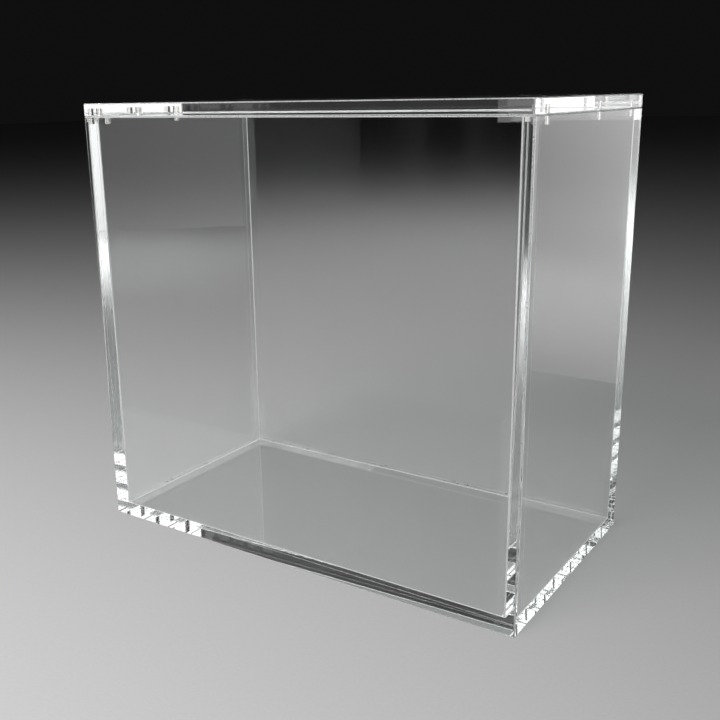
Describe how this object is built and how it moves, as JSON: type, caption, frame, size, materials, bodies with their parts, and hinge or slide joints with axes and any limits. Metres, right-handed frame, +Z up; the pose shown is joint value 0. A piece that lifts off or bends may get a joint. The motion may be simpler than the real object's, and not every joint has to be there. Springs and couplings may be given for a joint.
{
  "type": "acrylic display case",
  "caption": "Clear acrylic box-shaped display case with cemented walls and base and a loose flat lid held down by small corner and middle magnets.",
  "frame": {"origin": "centre of the footprint at the underside the case rests on", "axes": "+Z up, +Y towards the back panel, +X towards the right panel"},
  "size_m": [0.192, 0.104, 0.178],
  "materials": {
    "clear_acrylic": "clear cast acrylic sheet with polished edges",
    "nickel_plate": "bright nickel plating on small rod magnets"
  },
  "bodies": {
    "case": {"base_panel": "clear_acrylic", "front_panel": "clear_acrylic", "back_panel": "clear_acrylic", "left_panel": "clear_acrylic", "right_panel": "clear_acrylic", "case_magnet_front_left": "nickel_plate", "case_magnet_middle_left": "nickel_plate", "case_magnet_back_left": "nickel_plate", "case_magnet_front_right": "nickel_plate", "case_magnet_middle_right": "nickel_plate", "case_magnet_back_right": "nickel_plate"},
    "lid": {"lid_panel": "clear_acrylic", "lid_magnet_front_left": "nickel_plate", "lid_magnet_middle_left": "nickel_plate", "lid_magnet_back_left": "nickel_plate", "lid_magnet_front_right": "nickel_plate", "lid_magnet_middle_right": "nickel_plate", "lid_magnet_back_right": "nickel_plate"}
  },
  "joints": [
    {"name": "lid_lift", "type": "slide", "parent": "case", "child": "lid", "axis": [0, 0, 1], "range_m": [0, 0.15]}
  ]
}
